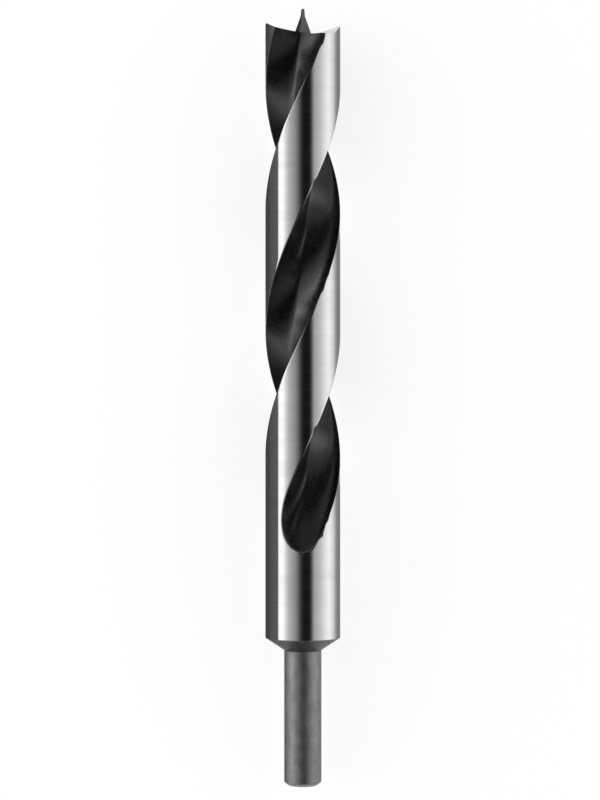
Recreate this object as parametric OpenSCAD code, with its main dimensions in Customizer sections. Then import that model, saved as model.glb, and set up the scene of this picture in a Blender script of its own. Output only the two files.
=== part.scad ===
// Wood twist drill bit with a brad point, two spurs and a reduced shank.
// One piece of tool steel. It lies along +Y with its tip at +Y, and the origin
// is the centre of the shank's end. Unless a comment says otherwise, sizes are
// millimetres, angles are degrees, and an angle round the axis is counted from
// the front (+Z when the bit lies) in the sense in which the flutes climb.

/* [Overall] */
// Length from the shank's end to the centre point
total_length = 207.5; // [180:0.5:300]
// Diameter that the bit cuts
body_d = 20; // [16:0.5:26]
// Length of the plain body between the shoulder and the flutes' ends
collar_length = 23.2; // [8:0.2:40]
// How much less than the cutting diameter the plain collar measures
collar_relief = 0.1; // [0.1:0.05:0.6]

/* [Shank] */
// Diameter of the reduced shank
shank_d = 10; // [6:0.5:13]
// Length of the shank, from its end to the foot of the shoulder
shank_length = 36.2; // [25:0.2:60]
// Bevel round the shank's end
shank_chamfer = 1; // [0.4:0.1:2]
// Length of the cone that joins the shank to the body
shoulder_length = 3.2; // [1:0.1:8]

/* [Flutes] */
// Length in which a flute turns once round
flute_pitch = 131; // [80:1:200]
// Angle that a flute takes up at the tip
flute_angle_tip = 91; // [80:1:100]
// Angle that a flute takes up where its runout starts
flute_angle_root = 90; // [75:1:100]
// Thickness of the web between the flutes at the tip
web_tip = 4.8; // [3:0.1:7]
// Thickness of the web where the runout starts
web_root = 6.4; // [3.5:0.1:9]
// Length over which a flute gets shallow and closes in a round end
runout_length = 19.5; // [8:0.1:30]
// Angle by which the round end leads the helix, as the twist dies away
runout_lead = 24; // [0:1:40]
// Rake of the cutting wall at its edge, from the line to the axis
flute_hook = 0; // [0:1:20]
// Slope of the heel wall at its edge, across the flute
heel_slope = 88; // [60:1:90]
// Direction of the front flute's middle at the lips
tip_turn = -4; // [-45:1:45]

/* [Tip] */
// Height of the centre point above the lips' inner ends
point_height = 6.4; // [3:0.1:10]
// Step from the flutes' roots in to the foot of the centre point
point_step = 0.15; // [0.05:0.05:0.6]
// Width of the needle on top of the centre point
needle_d = 1.1; // [0.6:0.1:2]
// Length of that needle
needle_length = 1.9; // [0.5:0.1:2.5]
// Height of a lip's outer corner above its inner end
lip_rise = 0.5; // [0:0.05:3]
// Height of a spur above the lips' inner ends
spur_rise = 2.15; // [1:0.05:5]
// Angle from a lip's outer corner back to the top of its spur
spur_lag = 26; // [10:1:40]
// Depth of the step behind a spur, below the lips' inner ends
step_drop = 1; // [0:0.05:2]
// Depth of a land's heel corner below the lips' inner ends
heel_drop = 2.25; // [1:0.05:4]
// Depth of the end face beside the centre point, at the heel
foot_drop = 0.5; // [0:0.05:2]
// Hollow of the lips between the point and the spurs, where 1 is straight
lip_hollow = 1.35; // [1:0.05:2]

/* [Hidden] */

bit_r = body_d / 2;
shank_r = shank_d / 2;
collar_r = (body_d - collar_relief) / 2;
shoulder_end = shank_length + shoulder_length;
flute_end = shoulder_end + collar_length;
runout_start = flute_end + runout_length;
lip_z = total_length - point_height;
twist = 360 / flute_pitch;
foot_r = web_tip / 2 - point_step;

// Facets
round_fn = 96;
turn_step = 5;
runout_steps = [85, 80, 72, 64, 56, 48, 40, 32, 24, 16, 8];
wall_steps = 7;
land_steps = 12;
lean_rings = 5;

function mix(a, b, share) = a * (1 - share) + b * share;
function flat(lists) = [for (list = lists) each list];

// A point given as [radius, angle round the axis], at height z along the axis
function place(p, z) = [p[0] * sin(p[1]), -p[0] * cos(p[1]), z];

function cubic(a, b, c, d, t) =
    a * pow(1 - t, 3) + 3 * b * t * pow(1 - t, 2) + 3 * c * t * t * (1 - t) + d * pow(t, 3);

// One flute's section, from its cutting edge through the root to its heel edge, as two
// cubic curves across a circle of radius 1 with the flute at its top. The cutting wall
// is nearly straight, as are the lips. The floor is wide and turns up into the heel wall.
// The root touches the web at root_turn.
root_turn = -6;
half_angle = flute_angle_root / 2;
web_share = web_root / body_d;
wall_reach = 0.12;
root_reach = 0.22;
floor_reach = 0.12;
heel_reach = 0.38;
cutting_edge = [-sin(half_angle), cos(half_angle)];
heel_edge = [sin(half_angle), cos(half_angle)];
root = web_share * [sin(root_turn), cos(root_turn)];
root_line = [cos(root_turn), -sin(root_turn)];
rake_line = [sin(half_angle - flute_hook), -cos(half_angle - flute_hook)];
heel_line = [cos(heel_slope), sin(heel_slope)];
function section_point(t) = t <= 1
    ? cubic(cutting_edge, cutting_edge + wall_reach * rake_line, root - root_reach * root_line, root, t)
    : cubic(root, root + floor_reach * root_line, heel_edge - heel_reach * heel_line, heel_edge, t - 1);

// The same points as [angle as a share of half the flute's angle, depth as a share of
// the full depth]
section = [for (i = [0:2 * wall_steps])
    let (p = section_point(i / wall_steps))
    [atan2(p[0], p[1]) / half_angle, (1 - norm(p)) / (1 - web_share)]];

// How far along the flute a height lies, from 0 where the runout starts to 1 at the lips
function along(z) = max(0, (z - runout_start) / (lip_z - runout_start));
function flute_angle(z) = mix(flute_angle_root, flute_angle_tip, along(z));
function flute_depth(z) = bit_r - mix(web_root, web_tip, along(z)) / 2;
function middle(z) = tip_turn + (z - lip_z) * twist;

// The outline across the bit at height z, as points [radius, angle]: a flute, a land,
// a flute and a land. open is 1 along the flutes and falls to 0 at their round ends,
// where a flute's points are spread evenly over an angle of twice end_half.
end_half = 3;
function outline(z, open) =
    let (
        mid = middle(z) + runout_lead * pow(1 - open * open, 1.5),
        half = max(end_half, open * flute_angle(z) / 2),
        depth = flute_depth(z) * open * open
    )
    [for (side = [0, 180])
        each concat(
            [for (i = [0:2 * wall_steps])
                [bit_r - depth * section[i][1],
                    side + mid + half * mix(i / wall_steps - 1, section[i][0], open)]],
            [for (i = [1:land_steps - 1])
                [bit_r, side + mid + mix(half, 180 - half, i / land_steps)]]
        )];
side_points = 2 * wall_steps + land_steps;

// End face of the lands, ground hollow between the centre point and the spurs.
// back is the angle behind a lip's outer corner. From there the rim climbs to the spur,
// falls to a step and drops to the heel corner. The end face is a sheet over the whole
// end, and only the lands reach it.
step_back = 75;
heel_start = 86;
heel_back = 96.6;
step_end = -step_drop - 0.15;
function rim(back) =
    back <= spur_lag ? mix(lip_rise, spur_rise, back / spur_lag) :
    back <= step_back ? mix(spur_rise, -step_drop, pow((back - spur_lag) / (step_back - spur_lag), 2)) :
    back <= heel_start ? mix(-step_drop, step_end, (back - step_back) / (heel_start - step_back)) :
    back <= heel_back ? mix(step_end, -heel_drop, pow((back - heel_start) / (heel_back - heel_start), 1.5)) :
    mix(-heel_drop, lip_rise, (back - heel_back) / (180 - heel_back));
function foot(back) = -foot_drop * sin(back);
corner_turn = middle(lip_z + lip_rise) - flute_angle_tip / 2;
function end_z(p) =
    let (
        back = ((corner_turn - p[1]) % 180 + 180) % 180,
        out = max(0, p[0] - foot_r) / (bit_r - foot_r)
    )
    lip_z + mix(foot(back), rim(back), pow(out, lip_hollow));

// Height at which point i of the outline meets the end face
function meet(i, z, tries) = tries == 0 ? z : meet(i, end_z(outline(z, 1)[i]), tries - 1);
tops = [for (i = [0:2 * side_points - 1]) meet(i, lip_z, 12)];
end_outline = [for (i = [0:2 * side_points - 1]) outline(tops[i], 1)[i]];

// Rings of the fluted body: a plug that roots it in the collar, then flat rings up to
// lean_z, then rings that lean over to the end face
plug_depth = 2;
plug_r = collar_r - 2;
lean_length = 3;
lean_z = min(tops) - lean_length;
flute_rings = ceil((lean_z - runout_start) * twist / turn_step);
function ring(z, open) = [for (p = outline(z, open)) place(p, z)];
function plug_ring(z) = [for (p = outline(flute_end, 0)) place([plug_r, p[1]], z)];
function leaning_ring(share) = [for (i = [0:2 * side_points - 1])
    let (z = mix(lean_z, tops[i], share))
    place(outline(z, 1)[i], z)];
function body_rings() = concat(
    [plug_ring(flute_end - plug_depth)],
    [plug_ring(flute_end)],
    [ring(flute_end, 0)],
    [for (a = runout_steps) ring(flute_end + runout_length * (1 - sin(a)), cos(a))],
    [for (i = [0:flute_rings]) ring(mix(runout_start, lean_z, i / flute_rings), 1)],
    [for (i = [1:lean_rings]) leaning_ring(i / lean_rings)]
);

// Point i of the end face's outline, counted on round the bit
function end_point(i) =
    let (n = i % (2 * side_points))
    place(end_outline[n], tops[n]);

// End face of one land, in rows from its rim in to the web. A row starts on the heel
// wall of one flute and ends on the cutting wall of the next.
function land_rim(side) = [for (i = [0:land_steps]) end_point(side * side_points + 2 * wall_steps + i)];
function land_row(side, row) =
    let (
        from_i = side * side_points + 2 * wall_steps - row,
        to_i = (1 - side) * side_points + row,
        from = end_outline[from_i],
        to = end_outline[to_i] + [0, 360 * side]
    )
    concat(
        [end_point(from_i)],
        [for (i = [1:land_steps - 1])
            let (p = mix(from, to, i / land_steps))
            place(p, end_z(p))],
        [end_point(to_i)]
    );
function land_end(side) = concat([land_rim(side)], [for (row = [1:wall_steps]) land_row(side, row)]);
function web_ring() = concat(
    [for (i = [0:land_steps - 1]) land_row(0, wall_steps)[i]],
    [for (i = [0:land_steps - 1]) land_row(1, wall_steps)[i]]
);

// Six-sided centre point that ends in a needle. Its rings start at the flutes' roots, and
// a corner lies facet_turn before each root. Its profile is given as [radius at the
// corners, height].
point_sides = 6;
point_turn = end_outline[wall_steps][1];
facet_turn = 15;
needle_end = 0.35;
point_profile = [
    [foot_r, lip_z - foot_drop / 2],
    [needle_d / 2, total_length - needle_length],
    [needle_d * 0.4, total_length - needle_end],
    [needle_d * 0.15, total_length]
];
function point_ring(corner_r, z) = [for (i = [0:2 * land_steps - 1])
    let (
        turn = i * 180 / land_steps,
        flat_half = 180 / point_sides,
        r = corner_r * cos(flat_half) / cos((turn + facet_turn) % (2 * flat_half) - flat_half)
    )
    place([r, point_turn + turn], z)];
function point_rows() = concat([web_ring()], [for (p = point_profile) point_ring(p[0], p[1])]);

// Faces of a sheet of points in rows, with the first point's number. A closed sheet's
// rows are rings.
function sheet_faces(rows, first, closed) =
    let (n = len(rows[0]))
    [for (k = [0:len(rows) - 2], i = [0:n - (closed ? 1 : 2)])
        let (
            a = first + k * n + i,
            b = first + k * n + (i + 1) % n
        )
        each [[a, a + n, b], [b, a + n, b + n]]];

module fluted_body() {
    body = body_rings();
    land_a = land_end(0);
    land_b = land_end(1);
    point = point_rows();
    ring_size = 2 * side_points;
    body_size = len(body) * ring_size;
    land_size = (wall_steps + 1) * (land_steps + 1);
    point_first = body_size + 2 * land_size;
    last = point_first + len(point) * 2 * land_steps - 1;
    polyhedron(
        points = flat(concat(body, land_a, land_b, point)),
        faces = concat(
            [[for (i = [0:ring_size - 1]) i]],
            sheet_faces(body, 0, true),
            sheet_faces(land_a, body_size, false),
            sheet_faces(land_b, body_size + land_size, false),
            sheet_faces(point, point_first, true),
            [[for (i = [0:2 * land_steps - 1]) last - i]]
        ),
        convexity = 10
    );
}

// Shank, shoulder and the plain collar below the flutes
module shank_and_collar() {
    rotate_extrude($fn = round_fn)
        polygon([
            [0, 0],
            [shank_r - shank_chamfer, 0],
            [shank_r, shank_chamfer],
            [shank_r, shank_length],
            [collar_r, shoulder_end],
            [collar_r, flute_end],
            [0, flute_end]
        ]);
}

module drill_bit() {
    color("silver")
        rotate([-90, 0, 0]) {
            shank_and_collar();
            fluted_body();
        }
}

drill_bit();
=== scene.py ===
# A wood twist drill bit with a brad point and a reduced shank, lying on a pale table under
# a studio light tent, seen from straight above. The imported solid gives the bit's size and
# place. The script skins it with a finer mesh of the same form, whose faces carry the
# finishes: ground steel lands, black flutes, a dark rolled shank and a ground tip.
import math

import bpy
import numpy as np
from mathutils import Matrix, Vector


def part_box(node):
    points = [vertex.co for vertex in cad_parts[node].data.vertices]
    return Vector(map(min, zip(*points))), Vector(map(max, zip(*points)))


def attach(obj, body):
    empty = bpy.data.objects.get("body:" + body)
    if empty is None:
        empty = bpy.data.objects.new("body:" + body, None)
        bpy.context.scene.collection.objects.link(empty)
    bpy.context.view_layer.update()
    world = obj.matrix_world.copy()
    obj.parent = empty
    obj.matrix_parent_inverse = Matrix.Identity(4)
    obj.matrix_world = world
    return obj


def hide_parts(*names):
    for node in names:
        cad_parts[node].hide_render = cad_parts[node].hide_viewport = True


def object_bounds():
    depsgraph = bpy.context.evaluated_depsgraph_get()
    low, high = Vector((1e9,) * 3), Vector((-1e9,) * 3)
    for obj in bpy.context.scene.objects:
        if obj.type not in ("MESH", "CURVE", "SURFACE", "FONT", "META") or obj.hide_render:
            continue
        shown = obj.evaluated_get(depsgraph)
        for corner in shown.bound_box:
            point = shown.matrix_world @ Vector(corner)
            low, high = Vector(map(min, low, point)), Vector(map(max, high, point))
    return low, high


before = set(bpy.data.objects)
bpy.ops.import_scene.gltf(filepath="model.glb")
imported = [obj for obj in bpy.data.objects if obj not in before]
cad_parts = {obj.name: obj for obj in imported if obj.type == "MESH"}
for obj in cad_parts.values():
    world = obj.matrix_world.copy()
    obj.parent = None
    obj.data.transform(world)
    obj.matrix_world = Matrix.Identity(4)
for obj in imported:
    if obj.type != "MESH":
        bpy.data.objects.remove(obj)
cad_low, cad_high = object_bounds()
node_low, node_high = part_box("drill_bit")

MM = 0.001

# The bit's sizes in millimetres and degrees, as in the solid
total_length = (node_high[1] - node_low[1]) / MM
bit_r = (node_high[0] - node_low[0]) / 2 / MM
shank_r = 5.0
shank_length = 36.2
shank_chamfer = 1.0
shoulder_length = 3.2
collar_length = 23.2
flute_pitch = 131.0
flute_angle_tip = 91.0
flute_angle_root = 90.0
web_tip = 4.8
web_root = 6.4
runout_length = 19.5
runout_lead = 24.0
flute_hook = 0.0
heel_slope = 88.0
root_turn = -6.0
wall_reach = 0.12
root_reach = 0.22
floor_reach = 0.12
heel_reach = 0.38
end_half = 3.0
tip_turn = -4.0
point_height = 6.4
point_step = 0.15
point_sides = 6
facet_turn = 15.0
needle_d = 1.1
needle_length = 1.9
needle_end = 0.35
lip_rise = 0.5
spur_rise = 2.15
spur_lag = 26.0
step_drop = 1.0
step_fall = 0.15
step_back = 75.0
heel_start = 86.0
heel_back = 96.6
heel_drop = 2.25
foot_drop = 0.5
lip_hollow = 1.35

shoulder_end = shank_length + shoulder_length
flute_end = shoulder_end + collar_length
runout_start = flute_end + runout_length
lip_y = total_length - point_height
twist = 360.0 / flute_pitch
foot_r = web_tip / 2 - point_step

# Broken edges along the flutes, with the place of a bevel's middle as a share of its width,
# and the rounding of the lathe-turned corners
cutting_break = 0.14
heel_break = 0.07
bevel_middle = 0.29
corner_round = 0.3

# How finely the skin is cut: steps down each wall of a flute and round each land, rings of
# each stretch, and the twist between two rings along the flutes
wall_steps = 26
land_steps = 36
lathe_rings = 12
corner_steps = 4
runout_rings = 26
turn_step = 1.5
lean_rings = 12
point_rings = 16
# Angle of the first ring inside a runout, where 90 is its round end
runout_first = 88.0
# Length over which the last rings lean over to the end face, and the rounds that find it
lean_length = 3.0
meet_rounds = 12
# Faces that meet at more than this angle have a sharp edge between them
sharp_angle = 34.0

# Material slots of the skin. The shoulder's slot has the shank's finish darkened as painted shade,
# and the facet slot paints light on two of the point's facets
LAND, FLUTE, SHANK, TIP, EDGE, POINT, LIT_FACET, SHADED_SHOULDER = range(8)

# What the mesh records as the place across a flute where there is no flute
OFF_FLUTE = 2.0

# The photograph's view, in its pixels, and the camera, in metres unless the name says mm
PHOTO_W, PHOTO_H = 600, 800
AXIS_X_PX = 302.8
SHANK_END_Y_PX = 784.7
MM_PER_PX = 0.2674
CAMERA_HEIGHT = 0.604
SENSOR_MM = 36.0
CLIP_START, CLIP_END = 0.01, 20


def make_camera():
    """A camera straight above the bit, with the tip at the top of the picture."""
    camera = bpy.data.objects.new("camera", bpy.data.cameras.new("camera"))
    bpy.context.scene.collection.objects.link(camera)
    x = (PHOTO_W / 2 - AXIS_X_PX) * MM_PER_PX * MM
    y = (SHANK_END_Y_PX - PHOTO_H / 2) * MM_PER_PX * MM
    camera.location = (x, y, CAMERA_HEIGHT)
    half_height = PHOTO_H / 2 * MM_PER_PX * MM
    camera.data.sensor_width = SENSOR_MM
    camera.data.lens = SENSOR_MM / 2 * CAMERA_HEIGHT / half_height
    camera.data.clip_start = CLIP_START
    camera.data.clip_end = CLIP_END
    bpy.context.scene.camera = camera


def mix(a, b, share):
    return a * (1 - share) + b * share


def cubic(a, b, c, d, t):
    """A cubic curve from a to d, at the shares t along it."""
    a, b, c, d = (np.array(p, float) for p in (a, b, c, d))
    t = np.array(t, float)[:, None]
    return a * (1 - t) ** 3 + 3 * b * t * (1 - t) ** 2 + 3 * c * t * t * (1 - t) + d * t**3


def radial(angle):
    """A direction across the bit, by its angle from the middle of the flute."""
    return np.array([math.sin(math.radians(angle)), math.cos(math.radians(angle))])


def make_section():
    """One flute's section: angles as shares of the half angle, and shares of the depth."""
    half_angle = flute_angle_root / 2
    web_share = web_root / 2 / bit_r
    cutting_edge, heel_edge = radial(-half_angle), radial(half_angle)
    root = web_share * radial(root_turn)
    root_line = radial(90 + root_turn)
    rake_line = -radial(flute_hook - half_angle)
    heel_line = radial(90 - heel_slope)
    steps = np.arange(wall_steps + 1) / wall_steps
    cutting_wall = cubic(
        cutting_edge, cutting_edge + wall_reach * rake_line, root - root_reach * root_line, root,
        steps[:-1])
    heel_wall = cubic(
        root, root + floor_reach * root_line, heel_edge - heel_reach * heel_line, heel_edge, steps)
    points = np.vstack([cutting_wall, heel_wall])
    angles = np.degrees(np.arctan2(points[:, 0], points[:, 1])) / half_angle
    depths = (1 - np.hypot(points[:, 0], points[:, 1])) / (1 - web_share)
    return np.column_stack([angles, depths])


section = make_section()


def along(y):
    """0 where a runout ends in the full flute, and 1 at the lips."""
    return max(0.0, (y - runout_start) / (lip_y - runout_start))


def middle(y):
    """The direction of the front flute's middle."""
    return tip_turn + (y - lip_y) * twist


# Points of the outline on one side: a flute's walls with both broken edges, then a land
flute_points = 2 * wall_steps + 5
root_point = flute_points // 2
side_points = flute_points + land_steps - 1
ring_points = 2 * side_points


def outline(y, open_share):
    """The outline across the bit at y: radii and angles of two flutes and two lands."""
    mid = middle(y) + runout_lead * (1 - open_share**2) ** 1.5
    half = max(end_half, open_share * mix(flute_angle_root, flute_angle_tip, along(y)) / 2)
    depth = (bit_r - mix(web_root, web_tip, along(y)) / 2) * open_share**2
    even = np.linspace(-1, 1, len(section))
    turn = mix(even, section[:, 0], open_share) * half
    radius = bit_r - depth * section[:, 1]
    # Each sharp edge becomes three points: on the land, at the bevel and on the wall
    cut, heel = cutting_break * open_share, heel_break * open_share
    cut_step, heel_step = math.degrees(cut / bit_r), math.degrees(heel / bit_r)
    turn = np.concatenate([
        [turn[0] - cut_step, turn[0] - bevel_middle * cut_step, turn[0]], turn[1:-1],
        [turn[-1], turn[-1] + bevel_middle * heel_step, turn[-1] + heel_step]])
    radius = np.concatenate([
        [bit_r, bit_r - bevel_middle * cut, bit_r - cut], radius[1:-1],
        [bit_r - heel, bit_r - bevel_middle * heel, bit_r]])
    land = mix(half + heel_step, 180 - half - cut_step, np.arange(1, land_steps) / land_steps)
    radii = np.concatenate([radius, np.full(land_steps - 1, bit_r)])
    turns = mid + np.concatenate([turn, land])
    return np.concatenate([radii, radii]), np.concatenate([turns, turns + 180])


# Heights of the lands' rim over the lips' inner ends, by the angle behind a lip's corner:
# up to the spur, down to a step and down to the heel corner. Each line has the angle at
# which it ends, the height there and the power of its curve.
RIM = [
    (0.0, lip_rise, 1),
    (spur_lag, spur_rise, 1),
    (step_back, -step_drop, 2),
    (heel_start, -step_drop - step_fall, 1),
    (heel_back, -heel_drop, 1.5),
    (180.0, lip_rise, 1),
]


def rim(back):
    """The rim's height at an angle behind a lip's corner, from 0 to 180."""
    for (start, low, _), (stop, high, power) in zip(RIM[:-1], RIM[1:]):
        if back <= stop:
            return mix(low, high, ((back - start) / (stop - start)) ** power)


corner_turn = middle(lip_y + lip_rise) - flute_angle_tip / 2


def end_y(radius, turn):
    """Where the ground end face lies at a radius and an angle round the axis."""
    back = (corner_turn - turn) % 180
    out = max(0.0, radius - foot_r) / (bit_r - foot_r)
    foot = -foot_drop * math.sin(math.radians(back))
    return lip_y + mix(foot, rim(back), out**lip_hollow)


def meet_end():
    """For each point of the outline, where it meets the end face: y, radius and angle."""
    tops = np.full(ring_points, lip_y)
    radii, turns = np.zeros(ring_points), np.zeros(ring_points)
    for _ in range(meet_rounds):
        for i in range(ring_points):
            r, a = outline(tops[i], 1.0)
            radii[i], turns[i] = r[i], a[i]
            tops[i] = end_y(r[i], a[i])
    return tops, radii, turns


def place(radius, turn, y):
    """Points of the lying bit: the angle is counted from the top, towards +X."""
    a = np.radians(turn)
    return np.stack([radius * np.sin(a), np.broadcast_to(y, a.shape), radius * np.cos(a)], -1) * MM


class Skin:
    """Collects the skin's points and faces, with each face's slot and each point's facts."""

    def __init__(self):
        self.points, self.faces, self.slots = [], [], []
        self.across, self.deep = [], []
        self.count = 0

    def add_points(self, places, across=None, deep=None):
        """Adds points, and returns their numbers."""
        added = len(places)
        self.points.append(places)
        self.across.append(np.full(added, OFF_FLUTE) if across is None else across)
        self.deep.append(np.zeros(added) if deep is None else deep)
        self.count += added
        return np.arange(self.count - added, self.count)

    def add_rows(self, rows, slots, closed):
        """Adds the faces between rows of point numbers. slots has one slot for each column."""
        columns = len(rows[0]) if closed else len(rows[0]) - 1
        for low, high in zip(rows[:-1], rows[1:]):
            for i in range(columns):
                j = (i + 1) % len(low)
                self.faces.append((low[i], low[j], high[j], high[i]))
                self.slots.append(slots[i])

    def make(self, name, materials):
        mesh = bpy.data.meshes.new(name)
        points = np.concatenate(self.points)
        mesh.from_pydata(points.tolist(), [], [tuple(int(i) for i in f) for f in self.faces])
        for material in materials:
            mesh.materials.append(material)
        mesh.polygons.foreach_set("material_index", self.slots)
        for label, values in (("across", self.across), ("deep", self.deep)):
            attribute = mesh.attributes.new(label, "FLOAT", "POINT")
            attribute.data.foreach_set("value", np.concatenate(values).astype(np.float32))
        mesh.polygons.foreach_set("use_smooth", [True] * len(mesh.polygons))
        mesh.set_sharp_from_angle(angle=math.radians(sharp_angle))
        mesh.validate()
        skin = bpy.data.objects.new(name, mesh)
        bpy.context.scene.collection.objects.link(skin)
        return skin


def ring_facts():
    """Across each flute from -1 at the cutting edge to 1 at the heel edge, and how deep."""
    across = np.linspace(-1, 1, len(section))
    side_across = np.concatenate([
        [-1, -1], across, [1, 1], np.full(land_steps - 1, OFF_FLUTE)])
    side_deep = np.concatenate([[0, 0], section[:, 1], [0, 0], np.zeros(land_steps - 1)])
    return np.tile(side_across, 2), np.tile(side_deep, 2)


def column_slots():
    """The slot of each column of faces round the fluted body."""
    side = [EDGE] * 2 + [FLUTE] * (2 * wall_steps + 2) + [LAND] * land_steps
    return side * 2


def lathe_profile():
    """The shank's and shoulder's outline as (radius, y, slot of the band up to it)."""
    # Outer corners are eased by two points each, up to this far from the corner
    cut = corner_round / 2
    # Even rings keep this far away from the corners, in mm
    shank_margin, collar_low, collar_high = 2.0, 1.0, 0.4
    bevel = [
        (shank_r - shank_chamfer - cut, 0, SHANK),
        (shank_r - shank_chamfer, cut * 0.4, SHANK),
        (shank_r - cut * 0.3, shank_chamfer - cut, SHANK),
        (shank_r, shank_chamfer + cut, SHANK)]
    shank = [(shank_r, y, SHANK) for y in np.linspace(
        shank_chamfer + shank_margin, shank_length - shank_margin, lathe_rings)]
    shank_top = [(shank_r, shank_length - corner_round, SHANK)]
    # The shoulder's corner and cone take the shank's finish at half brightness, as painted shade
    corner = [
        (shank_r + corner_round * (1 - math.cos(a)),
            shank_length - corner_round * (1 - math.sin(a)), SHADED_SHOULDER)
        for a in np.radians(np.linspace(0, 90, corner_steps + 1))[1:-1]]
    shoulder_rim = [
        (bit_r - cut, shoulder_end - cut * 0.6, SHADED_SHOULDER),
        (bit_r - cut * 0.2, shoulder_end - cut * 0.1, EDGE),
        (bit_r, shoulder_end + cut, EDGE)]
    collar = [(bit_r, y, LAND) for y in np.linspace(
        shoulder_end + collar_low, flute_end - collar_high, lathe_rings)]
    return bevel + shank + shank_top + corner + shoulder_rim + collar


def add_shank(skin, turns):
    """The lathe-turned part, from the shank's end up to the flutes. Returns its last ring."""
    rows, slots = [], []
    for radius, y, slot in lathe_profile():
        rows.append(skin.add_points(place(np.full(ring_points, radius), turns, y)))
        slots.append(slot)
    centre = skin.add_points(place(np.zeros(1), np.zeros(1), 0.0))
    for i in range(ring_points):
        skin.faces.append((centre[0], rows[0][(i + 1) % ring_points], rows[0][i]))
        skin.slots.append(SHANK)
    for k in range(1, len(rows)):
        skin.add_rows(rows[k - 1:k + 1], [slots[k]] * ring_points, True)
    return rows[-1]


def add_body(skin):
    """The fluted body up to the end face. Returns its last ring and where that lies."""
    across, deep = ring_facts()
    radii, turns = outline(flute_end, 0.0)
    rows = [add_shank(skin, turns), skin.add_points(place(radii, turns, flute_end))]
    for a in np.radians(np.linspace(runout_first, 0, runout_rings + 1)[:-1]):
        open_share = math.cos(a)
        y = flute_end + runout_length * (1 - math.sin(a))
        radii, turns = outline(y, open_share)
        rows.append(skin.add_points(place(radii, turns, y), across, deep * open_share**2))
    tops, end_radii, end_turns = meet_end()
    lean_y = tops.min() - lean_length
    count = math.ceil((lean_y - runout_start) * twist / turn_step)
    for i in range(count + 1):
        y = mix(runout_start, lean_y, i / count)
        radii, turns = outline(y, 1.0)
        rows.append(skin.add_points(place(radii, turns, y), across, deep))
    for k in range(1, lean_rings):
        ys = mix(lean_y, tops, k / lean_rings)
        pairs = [outline(y, 1.0) for y in ys]
        radii = np.array([pairs[i][0][i] for i in range(ring_points)])
        turns = np.array([pairs[i][1][i] for i in range(ring_points)])
        rows.append(skin.add_points(place(radii, turns, ys), across, deep))
    rows.append(skin.add_points(place(end_radii, end_turns, tops), across, deep))
    skin.add_rows(rows[:2], [LAND] * ring_points, True)
    skin.add_rows(rows[1:], column_slots(), True)
    return rows[-1], end_radii, end_turns


def add_land_end(skin, side, ring, radii, turns):
    """The end face of one land, in rows from its rim in to the web. Returns the last row."""
    heel_edge = side * side_points + flute_points - 1
    next_edge = (1 - side) * side_points
    rows = [[ring[(heel_edge + i) % ring_points] for i in range(land_steps + 1)]]
    shares = np.arange(1, land_steps)[:, None] / land_steps
    for row in range(1, root_point + 1):
        a, b = heel_edge - row, next_edge + row
        start = np.array([radii[a], turns[a]])
        stop = np.array([radii[b], turns[b] + 360 * side])
        between = mix(start, stop, shares)
        ys = np.array([end_y(r, t) for r, t in between])
        inner = skin.add_points(place(between[:, 0], between[:, 1], ys))
        rows.append([ring[a], *inner, ring[b]])
    skin.add_rows(rows, [TIP] * land_steps, False)
    return rows[-1]


def point_profile():
    """The centre point's profile, as (radius at its corners, y): a cone, then a needle."""
    foot = (foot_r, lip_y - foot_drop / 2)
    waist = (needle_d / 2, total_length - needle_length)
    shares = np.linspace(0, 1, point_rings)
    cone = [(mix(foot[0], waist[0], k), mix(foot[1], waist[1], k)) for k in shares]
    # The needle tapers a little and has a blunt, rounded end
    needle = [
        (needle_d * 0.4, total_length - needle_end),
        (needle_d * 0.33, total_length - needle_end * 0.45),
        (needle_d * 0.15, total_length)]
    return cone + needle


def add_point(skin, web_row, root_angle):
    """The six-sided centre point, from the web up to its blunt end."""
    count = len(web_row)
    turn = np.arange(count) * 360 / count
    side_angle = 360 / point_sides
    flat_half = side_angle / 2
    shape = math.cos(math.radians(flat_half)) / np.cos(
        np.radians((turn + facet_turn) % side_angle - flat_half))
    rows = [web_row]
    for corner_r, y in point_profile():
        rows.append(skin.add_points(place(corner_r * shape, root_angle + turn, y)))
    # The facets in line with the flutes are painted lighter than the four ground with the lips:
    # painted light and shade across the point
    half_column = 180 / count
    facets = (turn + facet_turn + half_column) // side_angle % (point_sides // 2)
    slots = [LIT_FACET if facet == 0 else POINT for facet in facets]
    skin.add_rows(rows[:2], [POINT] * count, True)
    skin.add_rows(rows[1:], slots, True)
    skin.faces.append(tuple(rows[-1]))
    skin.slots.append(POINT)


def grey(level):
    return (level, level, level)


# The part of a noise's range over which a finish goes from one look to the other
NOISE_SPAN = (0.3, 0.7)


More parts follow.
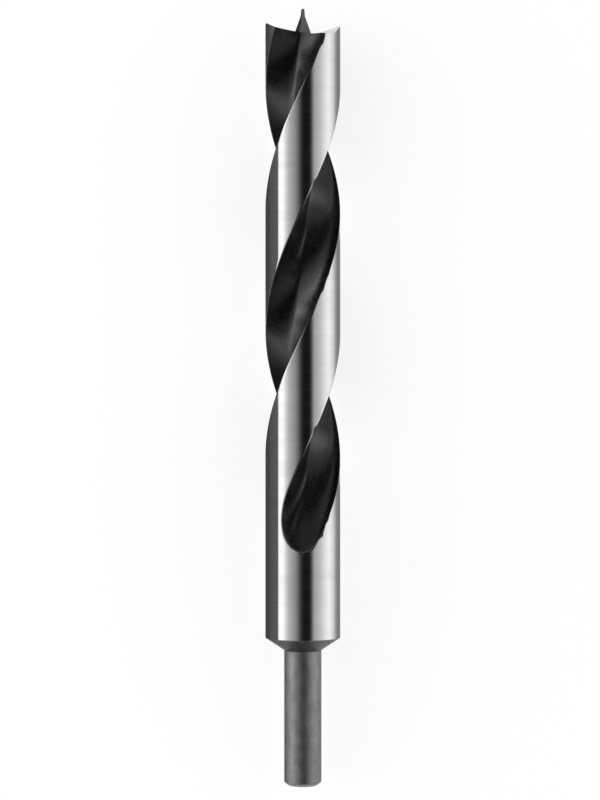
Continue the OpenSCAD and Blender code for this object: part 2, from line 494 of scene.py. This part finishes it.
class Nodes:
    """A material's node tree, with short calls for the nodes that the finishes use."""

    def __init__(self, name):
        self.material = bpy.data.materials.new(name)
        self.material.use_nodes = True
        self.tree = self.material.node_tree
        self.shader = self.tree.nodes["Principled BSDF"]

    def add(self, kind, **values):
        node = self.tree.nodes.new(kind)
        for key, value in values.items():
            setattr(node, key, value)
        return node

    def link(self, source, target):
        self.tree.links.new(source, target)

    def set(self, **values):
        """Sets the shader's own sockets. An underscore stands for a space."""
        for key, value in values.items():
            self.shader.inputs[key.replace("_", " ")].default_value = value

    def places(self, scale):
        """The object's own coordinates, scaled along X, Y and Z."""
        coordinates = self.add("ShaderNodeTexCoord")
        mapping = self.add("ShaderNodeMapping")
        mapping.inputs["Scale"].default_value = scale
        self.link(coordinates.outputs["Object"], mapping.inputs["Vector"])
        return mapping.outputs["Vector"]

    def fact(self, name):
        """One of the facts that the skin records at its points."""
        return self.add("ShaderNodeAttribute", attribute_name=name).outputs["Fac"]

    def noise(self, vector, scale=1.0, detail=4.0, roughness=0.6):
        noise = self.add("ShaderNodeTexNoise")
        noise.inputs["Scale"].default_value = scale
        noise.inputs["Detail"].default_value = detail
        noise.inputs["Roughness"].default_value = roughness
        self.link(vector, noise.inputs["Vector"])
        return noise.outputs["Fac"]

    def scaled(self, value, low, high, to_low, to_high):
        """A value between low and high, carried over to another range."""
        node = self.add("ShaderNodeMapRange")
        for key, number in zip(("From Min", "From Max", "To Min", "To Max"),
                               (low, high, to_low, to_high)):
            node.inputs[key].default_value = number
        self.link(value, node.inputs["Value"])
        return node.outputs["Result"]

    def shade(self, value, dark, light, span=NOISE_SPAN):
        """A colour that goes from dark to light as a value crosses a span."""
        node = self.add("ShaderNodeValToRGB")
        for element, where, colour in zip(node.color_ramp.elements, span, (dark, light)):
            element.position = where
            element.color = (*colour, 1)
        self.link(value, node.inputs["Fac"])
        return node.outputs["Color"]

    def mixed(self, share, first, second):
        """A colour between a first one, from a socket, and a second one, given as numbers."""
        node = self.add("ShaderNodeMix", data_type="RGBA")
        self.link(share, node.inputs["Factor"])
        self.link(first, node.inputs[6])
        node.inputs[7].default_value = (*second, 1)
        return node.outputs[2]

    def colour(self, value):
        self.link(value, self.shader.inputs["Base Color"])

    def roughness(self, noise, low, high):
        self.link(self.scaled(noise, *NOISE_SPAN, low, high), self.shader.inputs["Roughness"])

    def bump(self, height, strength, distance):
        node = self.add("ShaderNodeBump")
        node.inputs["Strength"].default_value = strength
        node.inputs["Distance"].default_value = distance
        self.link(height, node.inputs["Height"])
        self.link(node.outputs["Normal"], self.shader.inputs["Normal"])


def ground_steel():
    """Bright lands, cylindrically ground: fine marks run round the bit."""
    nodes = Nodes("ground_steel")
    nodes.set(Metallic=1.0)
    fine = nodes.noise(nodes.places((40, 9000, 40)), detail=2.0)
    broad = nodes.noise(nodes.places((60, 260, 60)))
    nodes.colour(nodes.shade(broad, (0.60, 0.60, 0.59), (0.68, 0.68, 0.67)))
    nodes.roughness(fine, 0.10, 0.20)
    nodes.bump(fine, 0.25, 0.00001)
    return nodes.material


def black_flute():
    """Black oxide in the flutes, with faint milling marks that follow the helix."""
    nodes = Nodes("black_flute")
    nodes.set(Metallic=0.0, IOR=1.85)
    across, deep = nodes.fact("across"), nodes.fact("deep")
    grain = nodes.noise(nodes.places((900, 900, 900)))
    marks = nodes.add("ShaderNodeCombineXYZ")
    nodes.link(across, marks.inputs["X"])
    nodes.link(deep, marks.inputs["Y"])
    lines = nodes.noise(marks.outputs["Vector"], scale=38.0, detail=3.0)
    # The black is worn grey along the edges
    oxide = nodes.shade(grain, (0.004, 0.0045, 0.0045), (0.009, 0.010, 0.010))
    worn = nodes.scaled(deep, 0.0, 0.06, 1.0, 0.0)
    nodes.colour(nodes.mixed(worn, oxide, grey(0.10)))
    nodes.roughness(grain, 0.20, 0.34)
    # The cutting wall shines less than the floor and the heel wall
    shine = nodes.scaled(across, -0.3, 0.05, 0.2, 0.5)
    nodes.link(shine, nodes.shader.inputs["Specular IOR Level"])
    nodes.bump(lines, 0.3, 0.00004)
    return nodes.material


# The two greys that mottle the shank
SHANK_DARK, SHANK_LIGHT = (0.20, 0.205, 0.20), (0.31, 0.315, 0.305)


def dark_shank(name, share):
    """Rolled, heat-darkened steel, slightly mottled, with a share of the shank's brightness. A
    share below 1 darkens the colour as painted shade.
    """
    nodes = Nodes(name)
    nodes.set(Metallic=0.85)
    mottle = nodes.noise(nodes.places((420, 260, 420)), detail=6.0)
    grain = nodes.noise(nodes.places((2600, 900, 2600)), detail=3.0)
    dark, light = (tuple(share * c for c in colour) for colour in (SHANK_DARK, SHANK_LIGHT))
    nodes.colour(nodes.shade(mottle, dark, light))
    nodes.roughness(grain, 0.34, 0.52)
    nodes.bump(grain, 0.35, 0.00003)
    return nodes.material


def ground_tip():
    """The end faces, ground bright with coarser straight marks."""
    nodes = Nodes("ground_tip")
    nodes.set(Metallic=1.0)
    marks = nodes.noise(nodes.places((300, 300, 5200)), detail=2.0)
    nodes.colour(nodes.shade(marks, grey(0.62), (0.80, 0.80, 0.79)))
    nodes.roughness(marks, 0.26, 0.42)
    nodes.bump(marks, 0.3, 0.00002)
    return nodes.material


def worn_edge():
    """The broken edges, where the black and the grinding meet."""
    nodes = Nodes("worn_edge")
    nodes.set(Metallic=1.0)
    nicks = nodes.noise(nodes.places((700, 700, 700)))
    nodes.colour(nodes.shade(nicks, grey(0.16), grey(0.32), span=(0.35, 0.65)))
    nodes.roughness(nicks, 0.35, 0.5)
    return nodes.material


# Scale of the grinding marks on the centre point, along X, Y and Z
POINT_MARKS = (3000, 400, 3000)


def painted_shade_point():
    """The centre point, ground, with painted shade: darker than its two facets in line with the
    flutes.
    """
    nodes = Nodes("painted_shade_point")
    nodes.set(Metallic=1.0)
    marks = nodes.noise(nodes.places(POINT_MARKS), detail=2.0)
    nodes.colour(nodes.shade(marks, grey(0.07), grey(0.12)))
    nodes.roughness(marks, 0.30, 0.45)
    nodes.bump(marks, 0.2, 0.00001)
    return nodes.material


def painted_light_facet():
    """The centre point's two facets in line with the flutes, with painted light: lighter than the
    other four.
    """
    nodes = Nodes("painted_light_facet")
    nodes.set(Metallic=0.5)
    marks = nodes.noise(nodes.places(POINT_MARKS), detail=2.0)
    nodes.colour(nodes.shade(marks, grey(0.30), grey(0.40)))
    nodes.roughness(marks, 0.40, 0.55)
    return nodes.material


def make_bit():
    """The bit's skin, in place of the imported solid."""
    skin = Skin()
    ring, radii, turns = add_body(skin)
    row_a = add_land_end(skin, 0, ring, radii, turns)
    row_b = add_land_end(skin, 1, ring, radii, turns)
    add_point(skin, row_a[:-1] + row_b[:-1], turns[root_point])
    # In the order of the material slots. The shoulder is half as bright as the shank, painted
    # shade on its corner and cone. The point's two finishes paint shade and light on its facets.
    bit = skin.make("bit_skin", [
        ground_steel(), black_flute(), dark_shank("dark_shank", 1.0), ground_tip(), worn_edge(),
        painted_shade_point(), painted_light_facet(), dark_shank("shoulder", 0.5)])
    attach(bit, "root")
    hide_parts("drill_bit")


# The table, and the world's even light
FLOOR_HALF = 1.6
FLOOR_COLOUR = (0.5, 0.5, 0.5, 1)
FLOOR_ROUGHNESS = 0.9
FLOOR_GLOW = 0.80
WORLD_LIGHT = 0.15
WHITE = (1, 1, 1, 1)

# The light tent, bent round the bit's length, with its brightness by angle from straight up
# towards the bit's right, in degrees
TENT_R = 0.9
TENT_HALF_LENGTH = 0.7
TENT_COLUMNS = 185
TENT_LIGHT = [
    (-92, 0.10), (-86, 0.12), (-83, 1.55), (-62, 1.55), (-59, 1.31), (-52, 0.97), (-45, 0.73),
    (-38, 0.58), (-26, 0.43), (-19, 0.29), (-7, 0.06), (-1, 0.018), (4, 0.008), (20, 0.006),
    (25, 0.03), (29, 0.19), (36, 0.56), (49, 0.68), (56, 0.80), (70, 1.11), (78, 1.24),
    (92, 1.34)]

# Cards beside the bit, which keep the table out of its reflections. Each is given by its
# distance from the axis and, from its foot to its top, by the height and the brightness.
# Cards beside the body also have the brightness beside a flute that faces the card, and the
# directions in which it does so.
CARD_X = 0.0106
CARD_BEYOND = 0.1
CARD_STEPS = 260
LOW_LEFT, HIGH_LEFT, RIGHT = (-80, -32), (-80, -14), (22, 70)
BODY_CARDS = {
    "left_card": (-CARD_X, [
        (-0.010, 0.065, 0.10, LOW_LEFT), (-0.0020, 0.07, 0.35, LOW_LEFT),
        (0.0010, 0.07, 0.8, LOW_LEFT), (0.0030, 0.07, 1.6, LOW_LEFT),
        (0.0040, 0.11, 1.7, LOW_LEFT), (0.0050, 0.12, 1.7, HIGH_LEFT),
        (0.0083, 0.13, 1.7, HIGH_LEFT)]),
    "right_card": (CARD_X, [
        (-0.010, 0.26, 0.5, RIGHT), (-0.0010, 0.26, 0.9, RIGHT), (0.0010, 0.26, 0.7, RIGHT),
        (0.0020, 0.27, 0.35, RIGHT), (0.0029, 0.32, 0.25, RIGHT), (0.0039, 0.52, 0.2, RIGHT),
        (0.0049, 0.86, 0.2, RIGHT), (0.0059, 1.12, 0.2, RIGHT), (0.0071, 1.30, 0.2, RIGHT),
        (0.0076, 1.32, 0.2, RIGHT)]),
}
SHANK_CARDS = {
    "left_shank_card": (-CARD_X, [(-0.010, 0.05), (-0.0031, 0.20), (0.0018, 0.65), (0.0050, 1.3)]),
    "right_shank_card": (CARD_X, [(-0.010, 0.25), (-0.0031, 0.5), (0.0018, 0.9), (0.0050, 1.15)]),
}
# Angle over which a card's light changes, how far below the full flutes it starts to, and how
# far below the shoulder's top the shank's cards give way to the body's, both in mm
FACING_SOFT = 10.0
FACING_BELOW = 4.0
CARDS_BELOW = 1.0

# Dark flags over the right side of the flutes that face them. Each is given by the
# directions that it is for and its brightness by angle.
FLAG_R = 0.014
FLAG_COLUMNS = 20
FLAG_REPEATS = 3
FLAGS = {
    "first_flag": ((-14, -2), [(24, 0.015), (43, 0.015)]),
    "upper_flag": ((-2, 66), [(24, 0.015), (54, 0.015)]),
    "lower_flag": ((16, 66), [(54, 0.015), (66, 0.03), (72, 0.15)]),
}


def add_mesh(name, points, faces, material):
    """A piece of the studio, which isn't part of the bit."""
    mesh = bpy.data.meshes.new(name)
    mesh.from_pydata(points, [], faces)
    mesh.materials.append(material)
    thing = bpy.data.objects.new(name, mesh)
    bpy.context.scene.collection.objects.link(thing)
    return thing


def make_floor():
    """The pale table that the bit lies on."""
    nodes = Nodes("pale_table")
    nodes.set(Base_Color=FLOOR_COLOUR, Roughness=FLOOR_ROUGHNESS, Emission_Color=WHITE,
              Emission_Strength=FLOOR_GLOW)
    corners = [
        (x * FLOOR_HALF, y * FLOOR_HALF, node_low[2])
        for x, y in ((-1, -1), (1, -1), (1, 1), (-1, 1))]
    add_mesh("table", corners, [(0, 1, 2, 3)], nodes.material)


def glow(name):
    """A material that only shines, as bright as the mesh's own brightness says."""
    material = bpy.data.materials.new(name)
    material.use_nodes = True
    tree = material.node_tree
    tree.nodes.clear()
    output = tree.nodes.new("ShaderNodeOutputMaterial")
    light = tree.nodes.new("ShaderNodeEmission")
    brightness = tree.nodes.new("ShaderNodeAttribute")
    brightness.attribute_name = "brightness"
    tree.links.new(brightness.outputs["Fac"], light.inputs["Strength"])
    tree.links.new(light.outputs["Emission"], output.inputs["Surface"])
    return material


def bright_sheet(name, grid, levels):
    """A sheet that the camera can't see: rows of points, each point with its brightness."""
    columns = len(grid[0])
    faces = [
        (k * columns + i, k * columns + i + 1, (k + 1) * columns + i + 1, (k + 1) * columns + i)
        for k in range(len(grid) - 1) for i in range(columns - 1)]
    sheet = add_mesh(name, [point for row in grid for point in row], faces, glow(name))
    attribute = sheet.data.attributes.new("brightness", "FLOAT", "POINT")
    attribute.data.foreach_set("value", np.array(levels, np.float32).ravel())
    sheet.visible_camera = False
    sheet.visible_shadow = False
    return sheet


def curved_sheet(name, radius, ends, light, columns):
    """A sheet bent round the bit's axis, whose brightness changes across it."""
    angles = np.linspace(light[0][0], light[-1][0], columns)
    levels = np.interp(angles, *zip(*light))
    grid = [[(radius * math.sin(a), y, radius * math.cos(a)) for y in ends]
            for a in np.radians(angles)]
    return bright_sheet(name, grid, [[level] * 2 for level in levels])


def make_tent():
    """The tent, centred over the bit's length."""
    middle_y = (cad_low[1] + cad_high[1]) / 2
    ends = (middle_y - TENT_HALF_LENGTH, middle_y + TENT_HALF_LENGTH)
    curved_sheet("light_tent", TENT_R, ends, TENT_LIGHT, TENT_COLUMNS)


def facing(y, low, high):
    """1 where the front flute points between two directions at y, and 0 elsewhere."""
    turn = (middle(y / MM) + 90) % 180 - 90
    fluted = y / MM > runout_start - FACING_BELOW
    return (fluted * np.clip((turn - low) / FACING_SOFT, 0, 1)
            * np.clip((high - turn) / FACING_SOFT, 0, 1))


def card_light(y, plain, beside_flute=None, directions=None):
    """A card's brightness at y, from the values of one of its heights."""
    if directions is None:
        return plain
    return mix(plain, beside_flute, facing(y, *directions))


def make_cards():
    """Upright cards on both sides of the bit, for its lower reflections."""
    between = (shoulder_end - CARDS_BELOW) * MM
    for cards, ends in (
            (BODY_CARDS, (between, cad_high[1] + CARD_BEYOND)),
            (SHANK_CARDS, (cad_low[1] - CARD_BEYOND, between))):
        ys = np.linspace(*ends, CARD_STEPS)
        for name, (x, stops) in cards.items():
            grid = [[(x, y, z) for y in ys] for z, *_ in stops]
            levels = [[card_light(y, *light) for y in ys] for _, *light in stops]
            card = bright_sheet(name, grid, levels)
            card.visible_diffuse = False


def make_flags():
    """Dark flags over each stretch of the bit where a flute faces up to the right."""
    for name, (directions, light) in FLAGS.items():
        for i in range(FLAG_REPEATS):
            ends = [(lip_y + (turn - tip_turn - 180 * i) / twist) * MM for turn in directions]
            flag = curved_sheet(f"{name}_{i + 1}", FLAG_R, ends, light, FLAG_COLUMNS)
            flag.visible_diffuse = False


def make_world():
    world = bpy.data.worlds.new("studio")
    bpy.context.scene.world = world
    world.use_nodes = True
    background = world.node_tree.nodes["Background"]
    background.inputs["Color"].default_value = WHITE
    background.inputs["Strength"].default_value = WORLD_LIGHT


make_camera()
make_bit()
make_floor()
make_tent()
make_cards()
make_flags()
make_world()
bpy.context.scene.view_settings.view_transform = "Standard"
